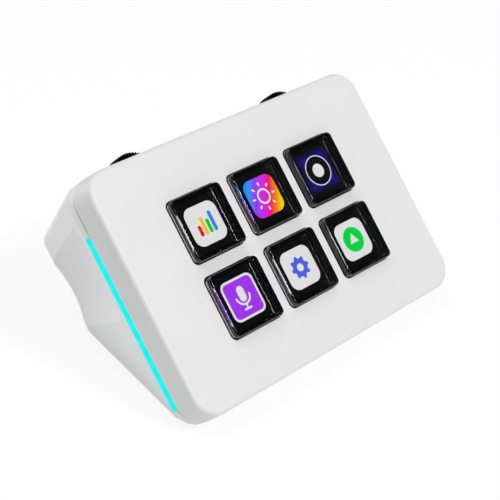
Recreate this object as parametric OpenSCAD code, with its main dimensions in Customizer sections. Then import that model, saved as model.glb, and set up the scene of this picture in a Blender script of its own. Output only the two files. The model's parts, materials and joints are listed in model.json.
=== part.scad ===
// Macro keypad: six display keys on a sloping face, two thumbwheels on its top
// edge, a light bar along each side and a hollow desk stand behind.
// Face frame: x to the right along the face, y up the face, z out of the face,
// with its origin at the centre of the face. place() sets it on the desk.

/* [Face] */
// Width of the face at its front edge
face_w = 111.5; // [106:0.1:122]
// Height of the face, measured along its slope
face_h = 77.2; // [72:0.2:90]
// Radius of the four face corners, seen from the front
corner_r = 8; // [5:0.5:11]
// Radius of the edge round the face
edge_r = 1.2; // [0.6:0.1:1.8]
// Angle between the face and the desk
face_angle = 50; // [44:1:56]
// Wall of the front cover behind the face
face_wall = 1.3; // [1.2:0.1:2.2]
// Side walls of the front cover
cover_wall = 2.2; // [1.8:0.1:2.8]
// Depth of the front cover, from the face to the seam
cover_depth = 9.3; // [8.8:0.1:12]
// How far the cover widens on each side from the face to the seam
cover_draft = 0.4; // [0:0.1:1]

/* [Stand] */
// Depth of the straight band behind the seam, which holds the light bars
band_depth = 3; // [2.6:0.1:5]
// How far the side of the stand is set in from the band
stand_inset = 2.2; // [1.5:0.1:5]
// How far its top lies below the top of the band
stand_drop = 0.1; // [0.1:0.1:1]
// Distance from the face to the rear of the stand
stand_depth = 61.2; // [54:0.2:70]
// Angle at which each side narrows towards the rear
side_taper = 15.4; // [8:0.2:18]
// Angle at which each side leans in towards the base
side_lean = 0.2; // [0:0.1:3]
// Angle at which the top falls towards the rear
top_taper = 6.2; // [3:0.2:10]
// Radius of the long edges of the stand
stand_edge_r = 3.2; // [3:0.2:6]
// Radius round the rear of the stand
rear_r = 3.6; // [2:0.2:5]
// Radius of its two lower corners behind the band
stand_corner_r = 12; // [8:0.5:15]
// Wall of the stand
stand_wall = 2.2; // [1.8:0.1:3]

/* [Finger recess] */
// Length of the recess at the rear, along the slope
grip_len = 22.4; // [18:0.2:26]
// Height of its middle above the middle of the face, along the slope
grip_mid = 13.4; // [8:0.2:16]
// Distance from the face to its front end
grip_front = 20.6; // [18:0.2:30]
// Radius of its front corners
grip_corner_r = 4.5; // [3:0.5:7]
// Depth of its curved floor at the rear
grip_sag = 2.2; // [1.5:0.1:3]
// Angle at which the floor sinks towards the front
grip_sink = 3; // [0:0.5:5]

/* [Keys] */
// Number of columns
key_cols = 3; // [3]
// Number of rows
key_rows = 2; // [2]
// Spacing of the keys, both ways
key_pitch = 24.3; // [23.6:0.1:25.4]
// Size of a square key cap
cap_size = 19.6; // [18:0.1:20.4]
// Radius of the cap's corners
cap_corner_r = 1.6; // [1:0.1:3]
// How far a cap stands above the face
cap_height = 2.3; // [1.4:0.1:2.6]
// Bevel round the top of a cap
cap_bevel = 0.6; // [0.5:0.1:1.3]
// Thickness of the black skirt round the clear block
skirt_wall = 0.9; // [0.6:0.1:1.4]
// Width of the flange that keeps a key in
flange_w = 1; // [0.7:0.1:1.2]
// Thickness of that flange
flange_t = 0.4; // [0.4:0.1:0.8]
// Gap round each cap in the face
key_gap = 0.4; // [0.15:0.05:0.5]
// Travel of a key
key_travel = 0.6; // [0.4:0.1:1]
// Gap left between moving and still pieces along the travel
press_gap = 0.15; // [0.1:0.05:0.4]

/* [Display] */
// Length of the display glass
lcd_w = 84; // [80:0.5:88]
// Height of the display glass
lcd_h = 56; // [52:0.5:58]
// Thickness of the display glass
lcd_t = 1.2; // [0.8:0.1:1.8]
// Thickness of the backlight tray
tray_t = 1.6; // [1.2:0.1:2.2]
// Thickness of the silicone key mat
mat_t = 0.3; // [0.2:0.1:0.6]
// Thickness of every circuit board
board_t = 1.2; // [0.8:0.1:1.2]

/* [Thumbwheels] */
// Distance of each wheel from the side of the face
wheel_inset = 24.2; // [20:0.1:28]
// Radius over the teeth
wheel_r = 8.7; // [7:0.1:9.6]
// How far a wheel stands above the band at the top edge
wheel_proud = 2.2; // [1.5:0.1:3.5]
// Thickness of the toothed part
wheel_t = 4.9; // [3.5:0.1:6]
// Number of teeth
wheel_teeth = 54; // [36:2:60]
// Depth of the teeth
tooth_depth = 0.4; // [0.2:0.05:0.6]
// Radius of the smooth collar behind the teeth
collar_r = 7.7; // [6:0.1:8.2]
// Length of the collar
collar_t = 3.6; // [2:0.1:5]
// Gap round a wheel in its slot
wheel_gap = 0.5; // [0.4:0.1:1]
// Radius of the encoder shaft
shaft_r = 1.5; // [1.2:0.1:2]
// Radial clearance of the shaft in its bush
shaft_fit = 0.05; // [0.03:0.01:0.08]

/* [Light bars] */
// Distance of a bar's upper end above the middle of the face
bar_top = 23.2; // [18:0.1:26]
// Distance of its lower end below the middle of the face
bar_bottom = 32; // [24:0.1:34]
// Width of a bar
bar_w = 2.5; // [1.6:0.1:2.5]
// Depth of a bar through the wall
bar_t = 3; // [2.6:0.1:4]

/* [Base] */
// How far the rubber feet stand below the base
foot_proud = 0.5; // [0.3:0.1:1.5]
// Depth of the recess that holds a foot
foot_sunk = 0.6; // [0.4:0.1:0.9]
// Width of a foot strip, front to rear
foot_w = 7; // [5:0.5:9]
// Length of the front foot strip
foot_front_len = 82; // [60:1:90]
// Length of the rear foot strip
foot_rear_len = 62; // [40:1:68]
// Width of the base cover
base_cover_w = 70; // [50:1:72]
// Depth of the base cover, front to rear
base_cover_d = 30; // [24:1:34]
// Thickness of the base cover
base_cover_t = 1.4; // [1:0.1:1.6]

/* [USB socket] */
// Width of the socket's shell
usb_w = 8.9; // [8.9]
// Height of the socket's shell
usb_h = 3.3; // [3.3]
// Length of the socket's shell
usb_len = 7.4; // [7:0.1:9]

/* [Hidden] */
// Where each chain of sizes ends up, from the face inwards
cap_top = cap_height;
flange_top = -face_wall - press_gap;
flange_bottom = flange_top - flange_t;
mat_top = flange_bottom - key_travel - press_gap;
lcd_top = mat_top - mat_t;
block_bottom = lcd_top + key_travel + press_gap;
tray_top = lcd_top - lcd_t;
board_top = tray_top - tray_t;
board_bottom = board_top - board_t;
seam = -cover_depth;
band_rear = seam - band_depth;
rear = -stand_depth;

seam_w = face_w + 2 * cover_draft;
seam_h = face_h + 2 * cover_draft;
cavity_w = face_w - 2 * cover_wall;
cavity_h = face_h - 2 * cover_wall;
cavity_r = corner_r - cover_wall;
stand_half_w = seam_w / 2 - stand_inset;
window = cap_size + 2 * key_gap;
flange_size = cap_size + 2 * flange_w;
fit_gap = 0.15;
lip_wall = 1.2;
lip_len = 1.4;

// Screws: shank radius, head radius and head height
screw_r = 1;
head_r = 1.9;
head_t = 1.2;
post_r = 2.8;
board_screw_len = 4;
screw_len = 5;
case_screw_len = 5.5;

// Heights on the desk
base_z = foot_proud;
face_z = base_z + seam_h / 2 * sin(face_angle) - band_rear * cos(face_angle);
edge_steps = [0, 22.5, 45, 67.5, 90];
front_reach = min([for (a = edge_steps)
    -(face_h / 2 - edge_r * (1 - cos(a))) * cos(face_angle)
    + edge_r * (1 - sin(a)) * sin(face_angle)]);
rear_reach = max([for (a = edge_steps)
    (stand_top(rear + rear_r * (1 - sin(a))) - rear_r * (1 - cos(a)))
    * cos(face_angle) - (rear + rear_r * (1 - sin(a))) * sin(face_angle)]);
face_y = -(front_reach + rear_reach) / 2;

// Wheels
wheel_x = face_w / 2 - wheel_inset;
wheel_y = seam_h / 2 + wheel_proud - wheel_r;
wheel_front = seam - wheel_gap;
wheel_rear = wheel_front - wheel_t;
collar_rear = wheel_rear - collar_t;
encoder_front = collar_rear - wheel_gap;
encoder_t = 5;
encoder_w = 11;
encoder_h = 10;
bush_wall = 0.7;
bush_t = 1.2;
encoder_above = shaft_r + bush_wall;
pocket_gap = 0.4;
encoder_board_top = encoder_front - encoder_t;

// Light bars
bar_front = seam;
bar_x = seam_w / 2;
strip_t = 1;
strip_len = bar_top + bar_bottom - 6;

// Board screws, in the corners of the cover
board_w = 2 * (cavity_w / 2 - 2);
board_h = 2 * (cavity_h / 2 - 5);
board_screw_x = board_w / 2 - 4;
board_screw_y = board_h / 2 - 4;

// USB socket, in the middle of the rear wall
usb_y = grip_mid;
usb_rear = rear + 0.4;
usb_board_w = 20;
usb_board_len = 16;

// Rear end of the base, where the rear wall meets it
base_rear_y = face_y + (base_z - face_z - rear * cos(face_angle)) / tan(face_angle)
    - rear * sin(face_angle);
base_front_y = face_y - seam_h / 2 * cos(face_angle) - band_rear * sin(face_angle);
foot_front_y = base_front_y + foot_w / 2 + 4.5;
foot_rear_y = base_rear_y - foot_w / 2 - 5;
base_cover_y = (foot_front_y + foot_rear_y) / 2;
case_screw_x = foot_front_len / 2 - 8;
boss_h = foot_sunk + head_t + 1.2;
boss_r = 3.4;
lug_w = 8;
lug_h = 5.5;
lug_z = base_z + boss_h + 0.3;
lug_inset = fit_gap + lip_wall + 0.3;
lip_top = seam + lip_len + 0.3;

// Height of the stand's top edge at a depth behind the face
function stand_top(z) = seam_h / 2 - stand_drop + (z - band_rear) * tan(top_taper);
// Half width of the stand at a depth behind the face, at a height on the face
function stand_half(z, y = grip_mid) = stand_half_w + (z - band_rear) * tan(side_taper)
    + (y - grip_mid) * tan(side_lean);
// Middle of a key, counted from 1 along the upper row
function key_x(i) = ((i - 1) % key_cols - (key_cols - 1) / 2) * key_pitch;
function key_y(i) = ((key_rows - 1) / 2 - floor((i - 1) / key_cols)) * key_pitch;

// Sets the face frame on the desk
module place() {
    translate([0, face_y, face_z]) rotate([face_angle, 0, 0]) children();
}

// A rectangle with true round corners
module rounded(w, h, r, fn = 48) {
    square([w - 2 * r, h], center = true);
    square([w, h - 2 * r], center = true);
    for (x = [-1, 1], y = [-1, 1])
        translate([x * (w / 2 - r), y * (h / 2 - r)]) circle(r, $fn = fn);
}

// A rounded plate between two depths of the face frame
module slab(w, h, r, from, to, fn = 48) {
    translate([0, 0, min(from, to)]) linear_extrude(abs(to - from)) rounded(w, h, r, fn);
}

module mirrored_x() {
    children();
    mirror([1, 0, 0]) children();
}

// ---- Housing ----

module cover_outside() {
    hull() {
        for (a = edge_steps) {
            inset = edge_r * (1 - cos(a));
            slab(face_w - 2 * inset, face_h - 2 * inset, corner_r - inset,
                -edge_r * (1 - sin(a)) - 0.01, -edge_r * (1 - sin(a)), 32);
        }
        slab(seam_w, seam_h, corner_r + cover_draft, seam, seam + 0.01, 32);
    }
}

// Posts for the board, ribs round the keys and two lugs for the case screws
module cover_inside() {
    for (x = [-1, 1], y = [-1, 1])
        translate([x * board_screw_x, y * board_screw_y, board_top])
            cylinder(r = post_r, h = -board_top - face_wall / 2, $fn = 32);
    rib = key_pitch - flange_size - 2 * press_gap;
    rib_depth = -flange_bottom - face_wall / 2;
    for (x = [-0.5 : 1 : 0.5])
        translate([x * key_pitch - rib / 2, -key_pitch, flange_bottom])
            cube([rib, 2 * key_pitch, rib_depth]);
    translate([-1.5 * key_pitch, -rib / 2, flange_bottom])
        cube([3 * key_pitch, rib, rib_depth]);
}

// Lug that reaches back inside the stand, over the boss of a case screw
module case_lug() {
    translate([case_screw_x - lug_w / 2, foot_front_y - lug_w / 2, lug_z])
        cube([lug_w, lug_w, lug_h]);
    place() translate([case_screw_x - lug_w / 2, -cavity_h / 2 - 0.5, 0]) {
        translate([0, 0, lip_top]) cube([lug_w, lug_inset + 3, 3]);
        translate([0, lug_inset + 0.5, seam - 6]) cube([lug_w, 2.5, 9]);
    }
}

module front_cover() {
    color("gainsboro") {
        difference() {
            union() {
                place() difference() {
                    cover_outside();
                    slab(cavity_w, cavity_h, cavity_r, seam - 1, -face_wall);
                }
                place() cover_inside();
                intersection() {
                    mirrored_x() case_lug();
                    above(lug_z);
                }
            }
            place() for (i = [1 : key_cols * key_rows])
                translate([key_x(i), key_y(i), 0])
                    slab(window, window, cap_corner_r + key_gap, -face_wall - 0.5, 1);
            place() for (x = [-1, 1], y = [-1, 1])
                translate([x * board_screw_x, y * board_screw_y, board_top - 1])
                    cylinder(r = screw_r, h = 6, $fn = 32);
            for (x = [-1, 1])
                translate([x * case_screw_x, foot_front_y, base_z])
                    cylinder(r = screw_r, h = boss_h + lug_h, $fn = 32);
        }
    }
}

// Tapered body of the stand, shrunk all round by a wall
module stand_body(wall) {
    r = rear_r - wall / 2;
    hull() {
        stand_section(band_rear + wall / 2, wall, 0);
        for (a = edge_steps)
            stand_section(rear + wall + r * (1 - sin(a)), wall, r * (1 - cos(a)));
    }
}

// One cross-section of the stand; its lower side lies below the base
module stand_section(z, wall, inset) {
    top = stand_top(z) - wall - inset;
    bottom = base_line(z) - 6;
    r = max(stand_edge_r - wall / 2, 1);
    for (x = [-1, 1], end = [[top, top - r], [bottom, bottom + r]])
        translate([x * (stand_half(z, end[0]) - wall - inset - r), end[1], z])
            cylinder(r = r, h = 0.01, $fn = 32);
}

// Where the base crosses a depth of the face frame, as a height on the face
function base_line(z) = (base_z - face_z - z * cos(face_angle)) / sin(face_angle);

// Tool for the finger recess in the left side, grown by a wall
module grip_tool(grow) {
    z_front = -(grip_front + band_rear) / cos(side_taper);
    z_rear = (rear - band_rear) / cos(side_taper);
    radius = (pow(grip_len / 2, 2) + pow(grip_sag, 2)) / (2 * grip_sag);
    front_sag = grip_sag + (z_front - z_rear) * tan(grip_sink);
    front_len = 2 * sqrt(pow(radius, 2) - pow(radius - front_sag, 2));
    long = 2 * stand_depth;
    translate([-stand_half_w, grip_mid, band_rear])
        rotate([0, -side_taper, 0]) rotate([0, 0, side_lean]) intersection() {
            translate([-20, 0, 0]) rotate([0, 90, 0]) linear_extrude(40)
                translate([-z_front - grow + long / 2, 0])
                    rounded(long, front_len + 2 * grow, grip_corner_r + grow);
            translate([grip_sag - radius, 0, z_rear]) rotate([0, grip_sink, 0])
                translate([0, 0, -stand_depth])
                    cylinder(r = radius + grow, h = 3 * stand_depth, $fn = 96);
        }
}

// Everything above a height on the desk
module above(z) {
    translate([-150, -150, z]) cube([300, 300, 200]);
}

module rear_shell() {
    color("whitesmoke") difference() {
        union() {
            // tapered stand, cut flat by the base, with its wall and recesses
            difference() {
                intersection() {
                    place() difference() {
                        stand_body(0);
                        mirrored_x() grip_tool(0);
                    }
                    // keeps the upper corners inside those of the band
                    place() translate([0, -corner_r, 0])
                        slab(seam_w - 0.2, seam_h - 0.1 + 2 * corner_r,
                            corner_r + cover_draft - 0.1, rear - 1, seam);
                    // rounds the two lower corners behind the band
                    place() translate([0, stand_corner_r, 0])
                        slab(2 * stand_half_w + 2, seam_h - 0.4 + 2 * stand_corner_r,
                            stand_corner_r, rear - 1, seam);
                    above(base_z);
                }
                intersection() {
                    place() difference() {
                        stand_body(stand_wall);
                        mirrored_x() grip_tool(stand_wall);
                    }
                    above(base_z + stand_wall);
                }
            }
            // band behind the seam and the lip that enters the cover
            place() difference() {
                union() {
                    slab(seam_w, seam_h, corner_r + cover_draft, band_rear, seam);
                    slab(cavity_w - 2 * fit_gap, cavity_h - 2 * fit_gap,
                        cavity_r - fit_gap, seam, seam + lip_len);
                }
                slab(cavity_w - 2 * fit_gap - 2 * lip_wall,
                    cavity_h - 2 * fit_gap - 2 * lip_wall,
                    cavity_r - fit_gap - lip_wall, band_rear - 1, seam + lip_len + 1);
            }
            stand_inside();
        }
        place() {
            mirrored_x() light_slot();
            mirrored_x() wheel_slot();
            usb_hole();
            // screws of the encoder board
            for (x = [-1, 0, 1])
                translate([x * encoder_screw_x, encoder_screw_y, encoder_board_top - board_t - 6])
                    cylinder(r = screw_r, h = 7, $fn = 32);
            // screws of the USB board
            for (x = [-1, 1])
                translate([x * usb_screw_x, usb_board_y + board_t / 2, usb_screw_z])
                    rotate([90, 0, 0]) cylinder(r = screw_r, h = 6, $fn = 32);
        }
        base_openings();
    }
}

// Pillars for the encoder board, a shelf for the USB board, posts for the base
encoder_screw_x = wheel_x + encoder_w / 2 + 5;
encoder_board_bottom = wheel_y + encoder_above - encoder_h;
encoder_board_h = stand_top(encoder_board_top - board_t) - stand_wall - 0.4
    - encoder_board_bottom;
encoder_board_y = encoder_board_bottom + encoder_board_h / 2;
encoder_screw_y = encoder_board_y;
usb_screw_x = usb_board_w / 2 - 2.5;
usb_board_y = usb_y - usb_h / 2 - board_t;
usb_screw_z = usb_rear + usb_board_len - 3.4;
base_screw_x = base_cover_w / 2 - 3.6;
base_screw_y = base_cover_d / 2 - 3.6;

module stand_inside() {
    place() intersection() {
        stand_body(stand_wall / 2);
        union() {
            for (x = [-1, 0, 1])
                translate([x * encoder_screw_x - 3, encoder_board_y - encoder_board_h / 2,
                    encoder_board_top - board_t - 9])
                    cube([6, 30, 9]);
            for (x = [-1, 1])
                translate([x * usb_screw_x - 2.5, usb_board_y - 7, rear])
                    cube([5, 7, usb_screw_z - rear + 2.5]);
        }
    }
    for (x = [-1, 1], y = [-1, 1])
        translate([x * base_screw_x, base_cover_y + y * base_screw_y,
            base_z + base_cover_t])
            cylinder(r = post_r, h = 7, $fn = 32);
    for (x = [-1, 1]) translate([x * case_screw_x, foot_front_y, base_z])
        cylinder(r = boss_r, h = boss_h, $fn = 48);
}

// Slot in the left side for its light bar, open at the seam
module light_slot() {
    mirror([1, 0, 0]) {
        translate([bar_x - bar_t, 0, 0]) bar_shape(bar_t + 1, fit_gap);
        // narrower window behind it for the LEDs
        translate([bar_x - bar_t - 4, (bar_top - bar_bottom - strip_len) / 2 - 0.5,
            bar_front - bar_w])
            cube([5, strip_len + 1, bar_w]);
    }
}

// Outline of a bar: its lower edge on the seam, round at the rear corners
module bar_shape(depth, grow) {
    length = bar_top + bar_bottom + 2 * grow;
    r = bar_w / 2 + grow - 0.01;
    translate([0, (bar_top - bar_bottom) / 2, bar_front]) rotate([0, 90, 0])
        linear_extrude(depth) {
            translate([bar_w / 2, 0]) rounded(bar_w + 2 * grow, length, r, 32);
        }
}

// Slot for the left wheel and its collar in the top of the band and the stand
module wheel_slot() {
    r = wheel_r + wheel_gap;
    translate([-wheel_x, wheel_y, collar_rear - wheel_gap])
        cylinder(r = r, h = seam - collar_rear + wheel_gap + lip_len + 1, $fn = 64);
    // thinner wall over the encoder and its board
    translate([-wheel_x - encoder_w / 2 - pocket_gap, wheel_y,
        encoder_board_top - board_t - 1])
        cube([encoder_w + 2 * pocket_gap, encoder_above + pocket_gap,
            collar_rear - encoder_board_top + board_t + 1]);
}

module usb_hole() {
    translate([0, usb_y, rear - 1]) linear_extrude(stand_wall + 2)
        rounded(usb_w + 2 * fit_gap, usb_h + 2 * fit_gap, usb_h / 2 + fit_gap - 0.01, 32);
}

// Recesses for the feet, the opening under the base cover and the screw holes
module base_openings() {
    foot(foot_front_len + 2 * fit_gap, foot_w + 2 * fit_gap, foot_front_y, base_z - 1,
        base_z + foot_sunk);
    foot(foot_rear_len + 2 * fit_gap, foot_w + 2 * fit_gap, foot_rear_y, base_z - 1,
        base_z + foot_sunk);
    translate([0, base_cover_y, base_z - 1])
        linear_extrude(1 + base_cover_t)
            rounded(base_cover_w + 2 * fit_gap, base_cover_d + 2 * fit_gap, 4, 32);
    translate([0, base_cover_y, base_z]) linear_extrude(stand_wall + 1)
        rounded(2 * (base_screw_x - post_r - 1), 2 * (base_screw_y - post_r - 1), 3, 32);
    for (x = [-1, 1], y = [-1, 1])
        translate([x * base_screw_x, base_cover_y + y * base_screw_y, base_z])
            cylinder(r = screw_r, h = 7, $fn = 32);
    for (x = [-1, 1]) translate([x * case_screw_x, foot_front_y, base_z - 1]) {
        cylinder(r = screw_r + 0.1, h = 6, $fn = 32);
        cylinder(r = head_r + 0.1, h = 1 + foot_sunk + head_t, $fn = 32);
    }
}

module foot(length, width, y, from, to) {
    translate([0, y, from]) linear_extrude(to - from)
        rounded(length, width, width / 2 - 0.01, 32);
}

module base_cover() {
    color("gainsboro") translate([0, base_cover_y, base_z]) difference() {
        linear_extrude(base_cover_t) rounded(base_cover_w, base_cover_d, 3.8, 32);
        for (x = [-1, 1], y = [-1, 1])
            translate([x * base_screw_x, y * base_screw_y, -1])
                cylinder(r = screw_r + 0.1, h = 4, $fn = 32);
        for (x = [-1, 1], y = [-1, 1])
            translate([x * base_screw_x, y * base_screw_y, -1])
                cylinder(r = head_r + 0.1, h = 1.7, $fn = 32);
    }
}

module foot_front() {
    color("dimgray") foot(foot_front_len, foot_w, foot_front_y, 0, base_z + foot_sunk);
}

module foot_rear() {
    color("dimgray") foot(foot_rear_len, foot_w, foot_rear_y, 0, base_z + foot_sunk);
}

// ---- Light bars ----

module light_bar(side) {
    color("cyan") place() mirror([side < 0 ? 1 : 0, 0, 0])
        translate([bar_x - bar_t, 0, 0]) bar_shape(bar_t, 0);
}

// Narrow board with a row of LEDs that face the bar
module led_strip(side) {
    led = 1.6;
    led_t = 0.6;
    count = 8;
    x = bar_x - bar_t - led_t;
    y = (bar_top - bar_bottom) / 2;
    z = bar_front - bar_w / 2;
    color("darkgreen") place() mirror([side < 0 ? 1 : 0, 0, 0]) {
        translate([x - strip_t, y - strip_len / 2, z - 1])
            cube([strip_t, strip_len, 2]);
        for (i = [0 : count - 1])
            translate([x, y - led / 2 + (i - (count - 1) / 2) * strip_len / count,
                z - led / 2])
                cube([led_t, led, led]);
    }
}

// ---- Keys ----

// Clear block with a bevelled top
module key_cap(i) {
    flat = cap_size - 2 * cap_bevel;
    core = cap_size - 2 * skirt_wall;
    color([0.1, 0.1, 0.12, 0.5]) place() translate([key_x(i), key_y(i), 0]) {
        hull() {
            slab(cap_size, cap_size, cap_corner_r, 0, cap_top - cap_bevel, 32);
            slab(flat, flat, cap_corner_r - cap_bevel / 2, 0, cap_top, 32);
        }
        slab(core, core, cap_corner_r / 2, block_bottom, 0, 32);
    }
}

// Black skirt round the lower part of the block, with its flange
module key_skirt(i) {
    core = cap_size - 2 * skirt_wall;
    color([0.08, 0.08, 0.09]) place() translate([key_x(i), key_y(i), 0])
        difference() {
            union() {
                slab(cap_size, cap_size, cap_corner_r, flange_bottom, 0, 32);
                slab(flange_size, flange_size, cap_corner_r, flange_bottom, flange_top, 32);
            }
            slab(core, core, cap_corner_r / 2, flange_bottom - 1, 1, 32);
        }
}

// Silicone sheet under the flanges, with a window for each picture
module key_mat() {
    window_size = cap_size - 2 * skirt_wall + 2 * press_gap;
    color("slategray") place() difference() {
        slab(key_cols * key_pitch + 2, key_rows * key_pitch + 2, 2, lcd_top, mat_top, 32);
        for (i = [1 : key_cols * key_rows])
            translate([key_x(i), key_y(i), 0])
                slab(window_size, window_size, cap_corner_r / 2, lcd_top - 1, mat_top + 1, 32);
    }
}

// ---- Display and main board ----

module display_glass() {
    color("black") place() slab(lcd_w, lcd_h, 0.8, tray_top, lcd_top, 32);
}

module display_tray() {
    color("silver") place() slab(lcd_w, lcd_h, 0.8, board_top, tray_top, 32);
}

module main_board() {
    color("darkgreen") place() difference() {
        slab(board_w, board_h, 3, board_bottom, board_top, 32);
        for (x = [-1, 1], y = [-1, 1])
            translate([x * board_screw_x, y * board_screw_y, board_bottom - 1])
                cylinder(r = screw_r + 0.1, h = board_t + 2, $fn = 32);
    }
}

// Processor, memory and the ribbon connectors on the rear of the board
module board_parts() {
    parts = [[0, -4, 10, 10, 1], [17, -4, 6, 5, 1], [-20, -2, 7, 9, 1.4],
        [0, 14, 16, 4, 2], [30, 6, 5, 8, 1.8], [-36, 4, 4, 12, 1.6]];
    color([0.15, 0.15, 0.16]) place() for (p = parts)
        translate([p[0] - p[2] / 2, p[1] - p[3] / 2, board_bottom - p[4]])
            cube([p[2], p[3], p[4]]);
}

// Pan-head screw: head outside the plane z = 0, shank running to -length
module screw(length) {
    translate([0, 0, -length]) cylinder(r = screw_r, h = length, $fn = 24);
    difference() {
        cylinder(r1 = head_r, r2 = head_r * 0.8, h = head_t, $fn = 24);
        translate([0, 0, head_t * 0.4]) cylinder(r = head_r * 0.4, h = head_t, $fn = 6);
    }
}

module board_screws() {
    color("silver") place() for (x = [-1, 1], y = [-1, 1])
        translate([x * board_screw_x, y * board_screw_y, board_bottom])
            mirror([0, 0, 1]) screw(board_screw_len);
}

// ---- Thumbwheels ----

// Toothed disc with a bevelled rim, turning about z
module wheel(side) {
    bevel = 0.5;
    step = 360 / wheel_teeth;
    teeth = [for (i = [0 : wheel_teeth - 1], k = [0 : 3])
        let (a = (i + [0, 0.36, 0.5, 0.86][k]) * step,
            r = wheel_r - (k < 2 ? 0 : tooth_depth))
        [r * cos(a), r * sin(a)]];
    color([0.07, 0.07, 0.07]) place() translate([side * wheel_x, wheel_y, wheel_rear])
        difference() {
            intersection() {
                linear_extrude(wheel_t) polygon(teeth);
                rotate_extrude($fn = 96) polygon([[0, 0], [wheel_r - bevel, 0],
                    [wheel_r + bevel, 2 * bevel], [wheel_r + bevel, wheel_t - 2 * bevel],
                    [wheel_r - bevel, wheel_t], [0, wheel_t]]);
            }
            translate([0, 0, -1]) cylinder(r = shaft_r, h = wheel_t, $fn = 48);
        }
}

// Smooth collar behind the teeth
module wheel_collar(side) {
    color([0.36, 0.36, 0.37]) place()
        translate([side * wheel_x, wheel_y, collar_rear]) difference() {
            rotate_extrude($fn = 96) polygon([[0, 0], [collar_r - 0.4, 0],
                [collar_r, 0.4], [collar_r, collar_t], [0, collar_t]]);
            translate([0, 0, -1]) cylinder(r = shaft_r, h = collar_t + 2, $fn = 48);
        }
}

// Shaft from inside the wheel to the encoder
module encoder_shaft(side) {
    tip = wheel_rear + wheel_t - 1.2;
    tail = encoder_front - encoder_t + 1;
    color("silver") place() translate([side * wheel_x, wheel_y, tail])
        cylinder(r = shaft_r, h = tip - tail, $fn = 48);
}

// Encoder housing: square body, round bush, bored for the shaft
module encoder(side) {
    color([0.2, 0.35, 0.25]) place()
        translate([side * wheel_x, wheel_y, encoder_board_top]) difference() {
            union() {
                translate([-encoder_w / 2, encoder_above - encoder_h, 0])
                    cube([encoder_w, encoder_h, encoder_t - bush_t]);
                cylinder(r = shaft_r + bush_wall, h = encoder_t, $fn = 48);
            }
            translate([0, 0, 0.8]) cylinder(r = shaft_r + shaft_fit, h = encoder_t, $fn = 48);
        }
}

module encoder_board() {
    w = 2 * encoder_screw_x + 6;
    color("darkgreen") place() difference() {
        translate([-w / 2, encoder_board_y - encoder_board_h / 2,
            encoder_board_top - board_t]) cube([w, encoder_board_h, board_t]);
        for (x = [-1, 0, 1])
            translate([x * encoder_screw_x, encoder_screw_y,
                encoder_board_top - board_t - 1])
                cylinder(r = screw_r + 0.1, h = board_t + 2, $fn = 32);
    }
}

module encoder_screws() {
    color("silver") place() for (x = [-1, 0, 1])
        translate([x * encoder_screw_x, encoder_screw_y, encoder_board_top]) screw(screw_len);
}

// ---- USB socket ----

module usb_board() {
    color("darkgreen") place() difference() {
        translate([-usb_board_w / 2, usb_board_y, rear + stand_wall + 0.3])
            cube([usb_board_w, board_t, usb_board_len]);
        for (x = [-1, 1])
            translate([x * usb_screw_x, usb_board_y + board_t + 1, usb_screw_z])
                rotate([90, 0, 0])
                    cylinder(r = screw_r + 0.1, h = board_t + 2, $fn = 32);
    }
}

// Metal shell with its mouth to the rear and the tongue inside
module usb_socket() {
    shell = 0.3;
    color("silver") place() translate([0, usb_y, usb_rear]) {
        difference() {
            linear_extrude(usb_len) rounded(usb_w, usb_h, usb_h / 2 - 0.01, 32);
            translate([0, 0, -1]) linear_extrude(usb_len - 0.6)
                rounded(usb_w - 2 * shell, usb_h - 2 * shell, usb_h / 2 - shell - 0.01, 32);
        }
        translate([-3.3, -0.35, 1.2]) cube([6.6, 0.7, usb_len - 1.6]);
    }
}

module usb_screws() {
    color("silver") place() for (x = [-1, 1])
        translate([x * usb_screw_x, usb_board_y + board_t, usb_screw_z])
            rotate([-90, 0, 0]) screw(screw_len);
}

// ---- Screws from below ----

module case_screws() {
    color("silver") for (x = [-1, 1])
        translate([x * case_screw_x, foot_front_y, base_z + foot_sunk + head_t])
            rotate([180, 0, 0]) screw(case_screw_len);
}

module base_screws() {
    color("silver") for (x = [-1, 1], y = [-1, 1])
        translate([x * base_screw_x, base_cover_y + y * base_screw_y, base_z + 0.7])
            rotate([180, 0, 0]) screw(screw_len);
}

front_cover();
rear_shell();
base_cover();
foot_front();
foot_rear();
light_bar(-1);  // light_bar_left
light_bar(1);  // light_bar_right
led_strip(-1);  // led_strip_left
led_strip(1);  // led_strip_right
key_cap(1);  // key_cap_1
key_cap(2);  // key_cap_2
key_cap(3);  // key_cap_3
key_cap(4);  // key_cap_4
key_cap(5);  // key_cap_5
key_cap(6);  // key_cap_6
key_skirt(1);  // key_skirt_1
key_skirt(2);  // key_skirt_2
key_skirt(3);  // key_skirt_3
key_skirt(4);  // key_skirt_4
key_skirt(5);  // key_skirt_5
key_skirt(6);  // key_skirt_6
key_mat();
display_glass();
display_tray();
main_board();
board_parts();
board_screws();
wheel(-1);  // wheel_left
wheel(1);  // wheel_right
wheel_collar(-1);  // wheel_collar_left
wheel_collar(1);  // wheel_collar_right
encoder_shaft(-1);  // encoder_shaft_left
encoder_shaft(1);  // encoder_shaft_right
encoder(-1);  // encoder_left
encoder(1);  // encoder_right
encoder_board();
encoder_screws();
usb_board();
usb_socket();
usb_screws();
case_screws();
base_screws();
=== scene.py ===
import json
import math

import bmesh
import bpy
from mathutils import Matrix, Vector


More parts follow.
